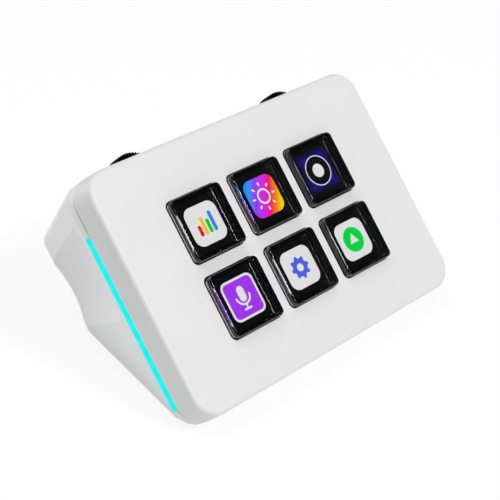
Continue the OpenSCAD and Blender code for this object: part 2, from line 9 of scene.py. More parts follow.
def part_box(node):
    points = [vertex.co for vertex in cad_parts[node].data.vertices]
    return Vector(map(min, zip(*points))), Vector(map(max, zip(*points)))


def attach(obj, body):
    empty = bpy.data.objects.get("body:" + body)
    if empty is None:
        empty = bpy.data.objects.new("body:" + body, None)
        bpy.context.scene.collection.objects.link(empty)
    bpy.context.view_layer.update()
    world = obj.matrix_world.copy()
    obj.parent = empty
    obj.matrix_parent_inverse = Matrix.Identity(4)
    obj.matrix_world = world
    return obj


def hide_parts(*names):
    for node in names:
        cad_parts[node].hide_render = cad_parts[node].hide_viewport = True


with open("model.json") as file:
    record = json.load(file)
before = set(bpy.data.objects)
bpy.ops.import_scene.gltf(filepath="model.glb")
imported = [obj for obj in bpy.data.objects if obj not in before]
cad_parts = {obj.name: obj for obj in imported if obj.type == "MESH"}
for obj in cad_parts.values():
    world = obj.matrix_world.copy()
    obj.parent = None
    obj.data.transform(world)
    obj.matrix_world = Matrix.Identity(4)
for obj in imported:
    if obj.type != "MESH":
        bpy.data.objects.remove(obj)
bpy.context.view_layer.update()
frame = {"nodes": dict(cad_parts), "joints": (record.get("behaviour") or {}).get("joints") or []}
print("frame loaded")

mm, perMetre = 0.001, 1000  # pieces are drawn in millimetres, the frame is in metres
hair = 0.001  # points this near count as level
almost = 0.01  # keeps faces and roundings just clear of each other
past = 1  # how far a cutting shape reaches past what it cuts

# The sloping face. Its pieces are drawn flat in millimetres, x along the face,
# y up it and z out of it, and toDesk sets them in place.
slope = {"angle": 50.0, "wheelX": 31.55, "wheelY": 32.5, "wheelZ": -12.3}
tilt = Matrix.Rotation(math.radians(slope["angle"]), 4, "X")
leftTurn = next(j for j in frame["joints"] if j["name"] == "thumbwheel_left_turn")
wheelCentre = Vector((-slope["wheelX"], slope["wheelY"], slope["wheelZ"])) * mm
faceCentre = Vector(leftTurn["pos_m"]) - tilt @ wheelCentre
toDesk = Matrix.Translation(faceCentre) @ tilt @ Matrix.Scale(mm, 4)
deskUp = tilt.inverted() @ Vector((0, 0, 1))


def onDesk(height):  # a point at this height above the desk, seen from the face
    return deskUp * (height - faceCentre.z * perMetre)


def fromDesk(shape):  # moves a shape drawn on the desk, in millimetres, to the face
    matrix = toDesk.inverted() @ Matrix.Scale(mm, 4)
    bmesh.ops.transform(shape, matrix=matrix, verts=shape.verts)
    return shape


# Drawing with bmesh

def bevelEdges(shape, edges, width, steps, affect="EDGES"):
    bmesh.ops.bevel(shape, geom=edges, offset=width, offset_type="OFFSET", segments=steps,
                    profile=0.5, affect=affect, material=-1, clamp_overlap=True,
                    loop_slide=True)


def newBlock(width, height, back, front, corner=0, steps=10, spread=0):
    # upright block between two depths; spread widens it towards the back
    shape = bmesh.new()
    middle = (front + back) / 2
    bmesh.ops.create_cube(shape, size=1)
    bmesh.ops.scale(shape, vec=(width, height, front - back), verts=shape.verts)
    bmesh.ops.translate(shape, vec=(0, 0, middle), verts=shape.verts)
    low = [v for v in shape.verts if v.co.z < middle]
    bmesh.ops.scale(shape, vec=(1 + 2 * spread / width, 1 + 2 * spread / height, 1),
                    verts=low)
    if corner:
        upright = [e for e in shape.edges
                   if abs(e.verts[0].co.z - e.verts[1].co.z) > hair]
        bevelEdges(shape, upright, corner, steps)
    return shape


def rimEdges(shape, depth):
    return [e for e in shape.edges if all(abs(v.co.z - depth) < hair for v in e.verts)]


def newDisc(radius, back, front, steps):
    shape = bmesh.new()
    bmesh.ops.create_cone(shape, cap_ends=True, cap_tris=False, segments=steps,
                          radius1=radius, radius2=radius, depth=front - back)
    bmesh.ops.translate(shape, vec=(0, 0, (front + back) / 2), verts=shape.verts)
    return shape


toothPoints = 4  # points on a toothed rim for each tooth and the gap beside it


def isGap(point, teeth):  # tells the low points of a toothed rim from the high ones
    around = math.atan2(point.y, point.x) / (2 * math.pi) * teeth
    return (around + 0.5 / toothPoints) % 1 > 0.5


def shifted(shape, x=0, y=0, z=0):
    bmesh.ops.translate(shape, vec=(x, y, z), verts=shape.verts)
    return shape


def turned(shape, angle, axis):
    bmesh.ops.rotate(shape, cent=(0, 0, 0), verts=shape.verts,
                     matrix=Matrix.Rotation(math.radians(angle), 3, axis))
    return shape


def mirrored(shape):
    bmesh.ops.scale(shape, vec=(-1, 1, 1), verts=shape.verts)
    bmesh.ops.reverse_faces(shape, faces=shape.faces)
    return shape


def joined(shape, other):
    mesh = bpy.data.meshes.new("joined")
    other.to_mesh(mesh)
    other.free()
    shape.from_mesh(mesh)
    bpy.data.meshes.remove(mesh)
    return shape


def linkPiece(shape, name):
    mesh = bpy.data.meshes.new(name)
    shape.to_mesh(mesh)
    shape.free()
    piece = bpy.data.objects.new(name, mesh)
    bpy.context.scene.collection.objects.link(piece)
    return piece


def makePiece(shape, name):
    bmesh.ops.recalc_face_normals(shape, faces=shape.faces)
    return linkPiece(shape, name)


def asShape(piece):  # turns a piece back into a shape, to cut or join with
    shape = bmesh.new()
    shape.from_mesh(piece.data)
    bpy.data.objects.remove(piece)
    return shape


def applyModifiers(piece):
    graph = bpy.context.evaluated_depsgraph_get()
    mesh = bpy.data.meshes.new_from_object(piece.evaluated_get(graph))
    piece.modifiers.clear()
    piece.data = mesh


def carve(piece, tools, operation="DIFFERENCE"):
    for shape in tools:
        tool = makePiece(shape, "tool")
        cut = piece.modifiers.new("cut", "BOOLEAN")
        cut.operation = operation
        cut.solver = "EXACT"
        cut.object = tool
        applyModifiers(piece)
        bpy.data.objects.remove(tool)
    return piece


def everywhere(point):
    return True


def soften(piece, width, steps, where=everywhere, least=35):
    # rounds the edges sharper than least degrees whose middle passes the test
    shape = bmesh.new()
    shape.from_mesh(piece.data)
    bmesh.ops.remove_doubles(shape, verts=shape.verts, dist=hair)
    sharp = [e for e in shape.edges if len(e.link_faces) == 2
             and e.calc_face_angle(0) > math.radians(least)
             and where((e.verts[0].co + e.verts[1].co) / 2)]
    bevelEdges(shape, sharp, width, steps)
    shape.to_mesh(piece.data)
    shape.free()


def finishPiece(piece, body, paints, replaced=(), sharp=35):
    piece.data.transform(toDesk)
    for face in piece.data.polygons:
        face.use_smooth = True
    piece.data.set_sharp_from_angle(angle=math.radians(sharp))
    weigh = piece.modifiers.new("weigh", "WEIGHTED_NORMAL")
    weigh.mode = "FACE_AREA"
    weigh.keep_sharp = True
    applyModifiers(piece)
    piece.data.materials.clear()
    for paint in paints:
        piece.data.materials.append(paint.material)
    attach(piece, body)
    if replaced:
        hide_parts(*replaced)


# Shader nodes

class Wire:  # one output socket, so that sums on it add Math nodes
    def __init__(self, nodes, socket):
        self.nodes = nodes
        self.socket = socket

    def reckon(self, operation, *values):
        return self.nodes.add("ShaderNodeMath", {"operation": operation},
                              dict(enumerate(values)))

    def __add__(self, other):
        return self.reckon("ADD", self, other)

    def __radd__(self, other):
        return self.reckon("ADD", other, self)

    def __sub__(self, other):
        return self.reckon("SUBTRACT", self, other)

    def __rsub__(self, other):
        return self.reckon("SUBTRACT", other, self)

    def __mul__(self, other):
        return self.reckon("MULTIPLY", self, other)

    def __rmul__(self, other):
        return self.reckon("MULTIPLY", other, self)

    def __truediv__(self, other):
        return self.reckon("DIVIDE", self, other)

    def __gt__(self, other):
        return self.reckon("GREATER_THAN", self, other)

    def __lt__(self, other):
        return self.reckon("LESS_THAN", self, other)

    def size(self):
        return self.reckon("ABSOLUTE", self)

    def part(self):
        return self.reckon("FRACT", self)

    def wave(self):
        return self.reckon("SINE", self)

    def most(self, other):
        return self.reckon("MAXIMUM", self, other)


class Nodes:  # a node tree that nodes are added to
    def __init__(self, tree):
        self.tree = tree

    def add(self, kind, settings=None, inputs=None, output=0):
        node = self.tree.nodes.new(kind)
        for key, value in (settings or {}).items():
            if key == "stops":
                self.setStops(node.color_ramp, value)
            else:
                setattr(node, key, value)
        for key, value in (inputs or {}).items():
            self.feed(node.inputs[key], value)
        return Wire(self, node.outputs[output])

    def feed(self, socket, value):
        if isinstance(value, Wire):
            self.tree.links.new(value.socket, socket)
        else:
            socket.default_value = value

    def setStops(self, ramp, stops):
        while len(ramp.elements) < len(stops):
            ramp.elements.new(0.5)
        for element, (place, colour) in zip(ramp.elements, stops):
            element.position = place
            element.color = (*colour, 1)


class Paint(Nodes):  # a material with one Principled shader
    def __init__(self, name, fixed=None):
        self.material = bpy.data.materials.new(name)
        self.material.use_nodes = True
        super().__init__(self.material.node_tree)
        self.shader = self.tree.nodes["Principled BSDF"]
        self.set(fixed or {})

    def set(self, values):
        for name, value in values.items():
            self.feed(self.shader.inputs[name], value)

    def faceSpot(self):  # millimetres on the face, from Object coordinates
        spot = self.add("ShaderNodeTexCoord", output="Object")
        shift = tilt.inverted() @ (faceCentre * -perMetre)
        return self.add("ShaderNodeMapping", {"vector_type": "POINT"},
                        {"Vector": spot, "Location": tuple(shift),
                         "Rotation": (-math.radians(slope["angle"]), 0, 0),
                         "Scale": (perMetre, perMetre, perMetre)})

    def parts(self, spot):
        return [self.add("ShaderNodeSeparateXYZ", None, {0: spot}, i) for i in range(3)]

    def noise(self, spot, scale, detail=2.0, rough=0.5):
        return self.add("ShaderNodeTexNoise", None,
                        {"Vector": spot, "Scale": scale, "Detail": detail,
                         "Roughness": rough})

    def stretch(self, spot, scale):
        return self.add("ShaderNodeMapping", None, {"Vector": spot, "Scale": scale})

    def ramp(self, value, stops):
        return self.add("ShaderNodeValToRGB", {"stops": stops}, {0: value})

    def mix(self, factor, first, second):  # sockets 6, 7 and 2 are the Mix node's colours
        pair = [c if isinstance(c, Wire) else (*c, 1) for c in (first, second)]
        return self.add("ShaderNodeMix", {"data_type": "RGBA"},
                        {0: factor, 6: pair[0], 7: pair[1]}, 2)

    def bump(self, height, depth, strength):
        return self.add("ShaderNodeBump", None,
                        {"Strength": strength, "Distance": depth * mm, "Height": height})


# Finishes. Scales are per millimetre, depths in millimetres; the gloss of a grain or
# a cloud is what it adds to the roughness.
# painted light: the shell's white is lighter than the cover's to stand in for the brighter light
# on the stand's sides, which the lamps alone leave too dark
plasticLook = {"cover": (0.83, 0.83, 0.835), "shell": (0.895, 0.895, 0.9), "shine": 0.45,
               "rough": 0.42, "cloud": 0.97, "cloudScale": 0.05, "cloudGloss": 0.06,
               "grainScale": 7.0, "grainGloss": 0.05, "grainDepth": 0.006, "bump": 0.35}


def paintWhitePlastic(name, part):
    look = plasticLook
    light = look[part]
    dark = tuple(c * look["cloud"] for c in light)
    paint = Paint(name, {"Specular IOR Level": look["shine"]})
    spot = paint.faceSpot()
    cloud = paint.noise(spot, look["cloudScale"], detail=3)
    grain = paint.noise(spot, look["grainScale"], detail=3, rough=0.6)
    rough = look["rough"] + look["cloudGloss"] * cloud + look["grainGloss"] * grain
    paint.set({"Base Color": paint.mix(cloud, dark, light), "Roughness": rough,
               "Normal": paint.bump(grain, look["grainDepth"], look["bump"])})
    return paint


# smoked blocks let through this share of the light of the display
clearLook = {"share": 0.45, "rough": 0.01, "index": 1.49, "shine": 0.9,
             "smearScale": 0.35, "smearGloss": 0.015}


def paintClearBlock():
    look = clearLook
    paint = Paint("clearBlock", {"Base Color": (look["share"],) * 3 + (1,),
                                 "Transmission Weight": 1.0, "IOR": look["index"],
                                 "Specular IOR Level": look["shine"]})
    smear = paint.noise(paint.faceSpot(), look["smearScale"])
    paint.set({"Roughness": look["rough"] + look["smearGloss"] * smear})
    return paint


skirtLook = {"dark": (0.002, 0.002, 0.002), "light": (0.004, 0.004, 0.004), "shine": 0.06,
             "rough": 0.3, "grainScale": 5.0, "grainGloss": 0.12, "grainDepth": 0.004,
             "bump": 0.3}


def paintBlackGloss():
    look = skirtLook
    paint = Paint("blackGloss", {"Specular IOR Level": look["shine"]})
    grain = paint.noise(paint.faceSpot(), look["grainScale"], detail=3)
    paint.set({"Base Color": paint.mix(grain, look["dark"], look["light"]),
               "Roughness": look["rough"] + look["grainGloss"] * grain,
               "Normal": paint.bump(grain, look["grainDepth"], look["bump"])})
    return paint


# the display behind the keys: a lit square under each, gaps between its pixels
keyGrid = {"pitch": 24.3, "columns": 3, "rows": 2}
screenLook = {"pixel": 0.153, "gap": 0.12, "gapShade": 0.2, "active": 16.4, "shiftX": 0.8,
              "flicker": 0.06, "flickerScale": 0.4, "off": (0.0004, 0.0004, 0.0005),
              "on": (0.003, 0.003, 0.0034), "glass": (0.003, 0.003, 0.0035, 1),
              "rough": 0.12, "smearScale": 2.0, "smearGloss": 0.05}
screenBase = {"Specular IOR Level": 0.1, "Emission Strength": 1 / clearLook["share"]}
pixelBase = {**screenBase, "Base Color": (0.005, 0.005, 0.005, 1), "Roughness": 0.4}


def pixelGrid(paint, spot):
    x, y, _ = paint.parts(spot)
    gapX = (x / screenLook["pixel"]).part() < screenLook["gap"]
    gapY = (y / screenLook["pixel"]).part() < screenLook["gap"]
    return 1 - screenLook["gapShade"] * (gapX + gapY - gapX * gapY)


def paintPixels(name, colour):  # one lit colour of the display
    look = screenLook
    paint = Paint(name, pixelBase)
    spot = paint.faceSpot()
    flicker = look["flicker"] * paint.noise(spot, look["flickerScale"], detail=1)
    glow = (1 - look["flicker"] / 2 + flicker) * pixelGrid(paint, spot)
    paint.set({"Emission Color": paint.mix(glow, (0, 0, 0), colour)})
    return paint


def paintDisplay():
    look, pitch = screenLook, keyGrid["pitch"]
    paint = Paint("displayGlass", {**screenBase, "Base Color": look["glass"]})
    spot = paint.faceSpot()
    x, y, _ = paint.parts(spot)
    acrossX = ((x - look["shiftX"]) / pitch + 0.5).part() - 0.5
    acrossY = (y / pitch).part() - 0.5
    half = look["active"] / 2 / pitch
    inside = (acrossX.size() < half) * (acrossY.size() < half)
    smear = paint.noise(spot, look["smearScale"])
    paint.set({"Emission Color": paint.mix(inside, look["off"], look["on"]),
               "Roughness": look["rough"] + look["smearGloss"] * smear})
    return paint


barLook = {"lit": (0.0, 0.86, 0.84), "hot": (0.01, 0.9, 0.88), "ledPitch": 6.1125,
           "plastic": (0.0, 0.02, 0.02, 1), "rough": 0.5, "shine": 0.05}


def paintLightBar():
    look = barLook
    paint = Paint("lightBar", {"Base Color": look["plastic"], "Roughness": look["rough"],
                               "Specular IOR Level": look["shine"],
                               "Emission Strength": 1.0})
    _, y, _ = paint.parts(paint.faceSpot())
    beat = 0.5 + 0.5 * (y * (2 * math.pi / look["ledPitch"])).wave()
    paint.set({"Emission Color": paint.mix(beat, look["lit"], look["hot"])})
    return paint


rubberLook = {"rough": 0.5, "dustScale": 0.3, "grainGloss": 0.25, "grainDepth": 0.02,
              "bump": 0.5}


def paintRubber(name, dark, light, grainScale=4.0, fixed=None):
    look = rubberLook
    paint = Paint(name, fixed)
    spot = paint.faceSpot()
    grain = paint.noise(spot, grainScale, detail=4, rough=0.65)
    dust = paint.noise(spot, look["dustScale"], detail=3)
    paint.set({"Base Color": paint.mix(dust, dark, light),
               "Roughness": look["rough"] + look["grainGloss"] * grain,
               "Normal": paint.bump(grain, look["grainDepth"], look["bump"])})
    return paint


metalLook = {"shade": 0.8, "rough": 0.25, "brushGloss": 0.2, "brushDepth": 0.004,
             "bump": 0.3}


def paintMetal(name, colour, stretch, scale=6.0):
    look = metalLook
    paint = Paint(name, {"Metallic": 1.0})
    brush = paint.noise(paint.stretch(paint.faceSpot(), stretch), scale, detail=3)
    dark = tuple(c * look["shade"] for c in colour)
    paint.set({"Base Color": paint.mix(brush, dark, colour),
               "Roughness": look["rough"] + look["brushGloss"] * brush,
               "Normal": paint.bump(brush, look["brushDepth"], look["bump"])})
    return paint


boardLook = {"dark": (0.008, 0.07, 0.025), "light": (0.02, 0.14, 0.05),
             "gold": (0.7, 0.55, 0.22), "cellScale": 0.45, "lineWidth": 0.03,
             "bendScale": 0.25, "bendFrom": 0.45, "viaScale": 0.7, "viaSize": 0.18,
             "viaMetal": 0.9, "rough": 0.38, "traceGloss": 0.1, "traceDepth": 0.03,
             "bump": 0.6}


def paintBoard():
    look = boardLook
    paint = Paint("circuitBoard")
    spot = paint.faceSpot()
    cell = paint.add("ShaderNodeTexBrick", {"offset": 0.5, "squash": 0.6},
                     {"Vector": spot, "Color1": (0, 0, 0, 1), "Color2": (0.3, 0.3, 0.3, 1),
                      "Mortar": (1, 1, 1, 1), "Scale": look["cellScale"],
                      "Mortar Size": look["lineWidth"]})
    bend = paint.noise(spot, look["bendScale"], detail=1)
    trace = cell * (bend > look["bendFrom"])
    dots = paint.add("ShaderNodeTexVoronoi", None,
                     {"Vector": spot, "Scale": look["viaScale"]})
    via = dots < look["viaSize"]
    green = paint.mix(trace, look["dark"], look["light"])
    paint.set({"Base Color": paint.mix(via, green, look["gold"]),
               "Metallic": via * look["viaMetal"],
               "Roughness": look["rough"] - look["traceGloss"] * trace,
               "Normal": paint.bump(trace + via, look["traceDepth"], look["bump"])})
    return paint


mouldedLook = {"grainScale": 6.0, "grainGloss": 0.15, "grainDepth": 0.008,
               "cloudScale": 0.4, "bump": 0.4}


def paintMoulded(name, dark, light, rough=0.5):
    look = mouldedLook
    paint = Paint(name)
    spot = paint.faceSpot()
    grain = paint.noise(spot, look["grainScale"], detail=3)
    cloud = paint.noise(spot, look["cloudScale"])
    paint.set({"Base Color": paint.mix(cloud, dark, light),
               "Roughness": rough + look["grainGloss"] * grain,
               "Normal": paint.bump(grain, look["grainDepth"], look["bump"])})
    return paint


coverPlastic = paintWhitePlastic("coverPlastic", "cover")
# the shell's lighter white is painted light for the stand's brighter sides
shellPlastic = paintWhitePlastic("shellPlastic", "shell")
clearBlock = paintClearBlock()
blackGloss = paintBlackGloss()
displayPaint = paintDisplay()
lightPaint = paintLightBar()
wheelPaint = paintRubber("wheelRubber", (0.001, 0.001, 0.001), (0.003, 0.003, 0.003),
                         fixed={"Specular IOR Level": 0.1})
footPaint = paintRubber("footRubber", (0.03, 0.03, 0.032), (0.05, 0.05, 0.052), 1.5)
matPaint = paintRubber("matSilicone", (0.035, 0.037, 0.04), (0.05, 0.052, 0.055))
collarPaint = paintMoulded("collarPlastic", (0.16, 0.16, 0.165), (0.2, 0.2, 0.205), 0.35)
chipPaint = paintMoulded("chipEpoxy", (0.008, 0.008, 0.009), (0.016, 0.016, 0.017))
encoderPaint = paintMoulded("encoderNylon", (0.02, 0.05, 0.03), (0.03, 0.07, 0.045))
steelPaint = paintMetal("screwSteel", (0.62, 0.63, 0.65), (1, 1, 1))
trayPaint = paintMetal("traySteel", (0.68, 0.69, 0.70), (0.05, 1.5, 1.5), 9.0)
goldPaint = paintMetal("contactGold", (0.83, 0.62, 0.26), (1, 0.2, 1))
boardPaint = paintBoard()
print("finishes made")

# Front cover
coverSize = {"width": 111.5, "height": 77.2, "corner": 8.0, "edge": 1.2, "depth": 9.3,
             "draft": 0.4, "wall": 2.2, "faceWall": 1.3, "window": 20.4,
             "windowCorner": 2.0, "windowEdge": 0.16, "lipEdge": 0.2, "seamGap": 0.14}


def keyCentres():
    for i in range(keyGrid["columns"] * keyGrid["rows"]):
        column = i % keyGrid["columns"] - (keyGrid["columns"] - 1) / 2
        row = (keyGrid["rows"] - 1) / 2 - i // keyGrid["columns"]
        yield i + 1, column * keyGrid["pitch"], row * keyGrid["pitch"]


def onWindows(point):  # on the flat of the face, within the key grid
    return (abs(point.z) < almost
            and abs(point.x) < keyGrid["columns"] * keyGrid["pitch"] / 2
            and abs(point.y) < keyGrid["rows"] * keyGrid["pitch"] / 2)


def buildCover():
    c = coverSize
    rear = c["seamGap"] - c["depth"]
    shape = newBlock(c["width"], c["height"], rear, 0, c["corner"], steps=16,
                     spread=c["draft"])
    bevelEdges(shape, rimEdges(shape, 0), c["edge"], steps=6)
    bevelEdges(shape, rimEdges(shape, rear), c["lipEdge"], steps=2)
    cover = makePiece(shape, "frontCover")
    hollow = newBlock(c["width"] - 2 * c["wall"], c["height"] - 2 * c["wall"],
                      -c["depth"] - past, -c["faceWall"], c["corner"] - c["wall"])
    windows = [shifted(newBlock(c["window"], c["window"], -c["faceWall"] - past, past,
                                c["windowCorner"], steps=8), x, y)
               for _, x, y in keyCentres()]
    carve(cover, [hollow, *windows])
    soften(cover, c["windowEdge"], steps=2, where=onWindows)
    finishPiece(cover, "housing", [coverPlastic], ["front_cover"])


buildCover()
print("front cover built")

# Rear shell: band, stand, finger recesses and openings. side, top and lean are
# slopes in degrees, and grip's sink too.
standSize = {"bandDepth": 3.0, "bandEdge": 0.35, "inset": 2.2, "depth": 61.2, "side": 15.4,
             "top": 6.2, "lean": 0.2, "drop": 0.1, "edge": 3.2, "wall": 2.2, "base": 0.5,
             "blank": 30.0, "foot": 12.0, "footLift": 0.2, "footSpare": 1.0, "trim": 0.1,
             "trimCorner": 0.3, "overlap": 0.4, "lipWall": 1.2, "lipLength": 1.4,
             "lipGap": 0.15}
gripSize = {"length": 22.4, "middle": 13.4, "front": 20.6, "corner": 4.5, "sag": 2.2,
            "sink": 3.0, "bite": 20.0, "edge": 0.5, "edgeOut": 25.0, "edgeBehind": 0.5}
wheelSize = {"radius": 8.9, "front": -9.8, "thick": 4.9, "teeth": 54, "tooth": 0.6,
             "collarRadius": 7.7, "collar": 3.6, "collarEdge": 0.4, "gap": 0.3,
             "edge": 0.25, "rim": 1.6, "dish": 0.4, "phase": -1.6}
barSize = {"top": 23.2, "bottom": -32.0, "width": 2.5, "depth": 3.0, "edge": 0.12,
           "slotDepth": 5.0, "gap": 0.15}
usbSize = {"width": 8.9, "height": 3.3, "length": 7.4, "shell": 0.3, "gap": 0.15,
           "sunk": 0.4, "floor": 0.9, "tongue": 6.6, "tongueHeight": 0.7,
           "tongueFrom": 1.2, "tongueTo": 0.6, "tongueCorner": 0.2, "pads": 12,
           "padPitch": 0.5, "padWidth": 0.28, "padHeight": 0.74, "padFrom": 1.4,
           "padTo": 4.4, "padCorner": 0.05}
baseSize = {"footDepth": 0.6, "coverDepth": 1.4, "coverCorner": 4.0, "rim": 8.0,
            "openingCorner": 3.0}

seamDepth = -coverSize["depth"]
seamWidth = coverSize["width"] + 2 * coverSize["draft"]
seamHeight = coverSize["height"] + 2 * coverSize["draft"]
bandRear = seamDepth - standSize["bandDepth"]
standRear = -standSize["depth"]


def standHalf(depth, height):
    narrowing = (depth - bandRear) * math.tan(math.radians(standSize["side"]))
    leaning = (height - gripSize["middle"]) * math.tan(math.radians(standSize["lean"]))
    return seamWidth / 2 - standSize["inset"] + narrowing + leaning


def standTop(depth):
    slopeUp = math.tan(math.radians(standSize["top"]))
    return seamHeight / 2 - standSize["drop"] + (depth - bandRear) * slopeUp


def cutByDesk(shape, height):  # keeps what lies above a height on the desk
    whole = shape.verts[:] + shape.edges[:] + shape.faces[:]
    cut = bmesh.ops.bisect_plane(shape, geom=whole, plane_co=onDesk(height),
                                 plane_no=deskUp, clear_inner=True)
    rim = [e for e in cut["geom_cut"] if isinstance(e, bmesh.types.BMEdge)]
    bmesh.ops.edgeloop_fill(shape, edges=rim)
    return shape


def newStand(wall, front):
    # tapered body, made smaller all round by a wall
    shape = bmesh.new()
    bmesh.ops.create_cube(shape, size=2)
    rear = standRear + wall
    bottom = -seamHeight / 2 - standSize["blank"]
    for v in shape.verts:
        depth = front if v.co.z > 0 else rear
        height = standTop(depth) - wall if v.co.y > 0 else bottom
        v.co = (v.co.x * (standHalf(depth, height) - wall), height, depth)
    rounded = rimEdges(shape, rear)
    rounded += [e for e in shape.edges
                if e.verts[0].co.y > 0 and e.verts[1].co.y > 0
                and abs(e.verts[0].co.z - e.verts[1].co.z) > hair]
    bevelEdges(shape, rounded, standSize["edge"] - wall / 2, steps=9)
    return cutByDesk(shape, standSize["base"] + wall)


def newGripTool(grow, side):
    # a cylinder that sinks towards the front, ended there by a rounded slot
    g = gripSize
    lean = math.radians(standSize["side"])
    frontEnd = -(g["front"] + bandRear) / math.cos(lean)
    rearEnd = (standRear - bandRear) / math.cos(lean)
    radius = ((g["length"] / 2) ** 2 + g["sag"] ** 2) / (2 * g["sag"])
    sag = g["sag"] + (frontEnd - rearEnd) * math.tan(math.radians(g["sink"]))
    width = 2 * math.sqrt(radius ** 2 - (radius - sag) ** 2)
    reach = 2 * standSize["depth"]
    slot = newBlock(reach, width + 2 * grow, -g["bite"], g["bite"], g["corner"] + grow,
                    steps=8)
    shifted(slot, x=reach / 2 - frontEnd - grow)
    turned(slot, 90, "Y")
    scoop = newDisc(radius + grow, -reach, reach, steps=240)
    turned(scoop, g["sink"], "Y")
    shifted(scoop, x=g["sag"] - radius, z=rearEnd)
    shape = asShape(carve(makePiece(slot, "grip"), [scoop], "INTERSECT"))
    turned(shape, standSize["lean"], "Z")
    turned(shape, -standSize["side"], "Y")
    shifted(shape, standSize["inset"] - seamWidth / 2, g["middle"], bandRear)
    return mirrored(shape) if side > 0 else shape


def overNode(node, grow, depth, corner=0):
    # block over a CAD node's box, from below the base up to a depth in it; without
    # a corner its ends are round
    low, high = (Vector(end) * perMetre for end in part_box(node))
    base = standSize["base"]
    side = high - low
    shape = newBlock(side.x + grow, side.y + grow, base - past, base + depth,
                     corner or (side.y + grow) / 2 - almost, steps=8)
    return fromDesk(shifted(shape, y=(low.y + high.y) / 2))


def baseTools():
    # recesses for the feet and the base cover, with the opening above it
    b = baseSize
    fit = 2 * standSize["lipGap"]
    tools = [overNode(foot, fit, b["footDepth"]) for foot in ("foot_front", "foot_rear")]
    tools.append(overNode("base_cover", fit, b["coverDepth"], b["coverCorner"]))
    tools.append(overNode("base_cover", -2 * b["rim"], standSize["wall"] + past,
                          b["openingCorner"]))
    return tools


def newBar(depth, grow):
    b = barSize
    middle = (b["top"] + b["bottom"]) / 2
    length = b["top"] - b["bottom"] + 2 * grow
    shape = newBlock(b["width"] + 2 * grow, length, 0, depth,
                     b["width"] / 2 + grow - 2 * almost, steps=8)
    turned(shape, 90, "Y")
    return shifted(shape, seamWidth / 2 - b["depth"], middle, seamDepth - b["width"] / 2)


def standPiece(wall, front, name):
    # the stand's solid: trimmed inside the band, its lower front corners rounded,
    # with a finger recess in each side
    s, corner = standSize, coverSize["corner"]
    stand = makePiece(newStand(wall, front), name)
    upper = newBlock(seamWidth - 2 * s["trim"], seamHeight - s["trim"] + 2 * corner,
                     standRear - past, front + past, corner + s["trimCorner"], steps=16)
    lower = newBlock(seamWidth - 2 * s["inset"] + 2 * s["footSpare"],
                     seamHeight - 2 * s["footLift"] + 2 * s["foot"],
                     standRear - past, front + past, s["foot"], steps=16)
    carve(stand, [shifted(upper, y=-corner), shifted(lower, y=s["foot"])], "INTERSECT")
    return carve(stand, [newGripTool(wall, -1), newGripTool(wall, 1)])


def onSides(point):  # on the stand's sides, clear of the band
    return (abs(point.x) > gripSize["edgeOut"]
            and point.z < bandRear - gripSize["edgeBehind"])


def buildShell():
    s, w, c, b, u = standSize, wheelSize, coverSize, barSize, usbSize
    front = seamDepth - c["seamGap"]
    lipFront = seamDepth + s["lipLength"]
    stand = standPiece(0, bandRear, "stand")
    soften(stand, gripSize["edge"], steps=3, where=onSides, least=14)
    band = newBlock(seamWidth, seamHeight, bandRear, front, c["corner"] + c["draft"],
                    steps=16)
    bevelEdges(band, rimEdges(band, bandRear), s["bandEdge"], steps=3)
    bevelEdges(band, rimEdges(band, front), c["lipEdge"], steps=2)
    shell = makePiece(band, "rearShell")
    # the lip that enters the cover, and the opening through it
    cavity = [c["width"] - 2 * c["wall"] - 2 * s["lipGap"],
              c["height"] - 2 * c["wall"] - 2 * s["lipGap"]]
    corner = c["corner"] - c["wall"] - s["lipGap"]
    lip = newBlock(*cavity, bandRear + past, lipFront, corner)
    carve(shell, [asShape(stand), lip], "UNION")
    inner = [side - 2 * s["lipWall"] for side in cavity]
    opening = newBlock(*inner, bandRear - past, lipFront + past, corner - s["lipWall"])
    hollow = standPiece(s["wall"], bandRear + s["overlap"], "hollow")
    carve(shell, [opening, asShape(hollow)])
    wheelRear = w["front"] - w["thick"] - w["collar"] - w["gap"]
    for side in (-1, 1):
        hole = newDisc(w["radius"] + w["gap"], wheelRear, lipFront + past, steps=96)
        carve(shell, [shifted(hole, side * slope["wheelX"], slope["wheelY"])])
    carve(shell, [newBar(b["slotDepth"], b["gap"]),
                  mirrored(newBar(b["slotDepth"], b["gap"]))])
    usbHole = newBlock(u["width"] + 2 * u["gap"], u["height"] + 2 * u["gap"],
                       standRear - past, standRear + s["wall"] + past, u["height"] / 2,
                       steps=8)
    carve(shell, [shifted(usbHole, y=gripSize["middle"])])
    carve(shell, baseTools())
    finishPiece(shell, "housing", [shellPlastic], ["rear_shell"], sharp=28)


buildShell()
print("rear shell built")


def buildLightBar(side, name):
    shape = newBar(barSize["depth"], 0)
    if side < 0:
        mirrored(shape)
    bar = makePiece(shape, "lightBar" + name.capitalize())
    soften(bar, barSize["edge"], steps=2)
    finishPiece(bar, "housing", [lightPaint], ["light_bar_" + name])


buildLightBar(-1, "left")
buildLightBar(1, "right")
print("light bars built")

# Keys
keySize = {"cap": 19.6, "corner": 1.6, "height": 2.3, "bevel": 0.4, "capEdge": 0.12,
           "core": 17.8, "coreTop": 0.2, "coreEdge": 0.04, "bottom": -2.15,
           "flange": 21.6, "flangeTop": -1.45, "flangeBottom": -1.85, "skirtEdge": 0.1}


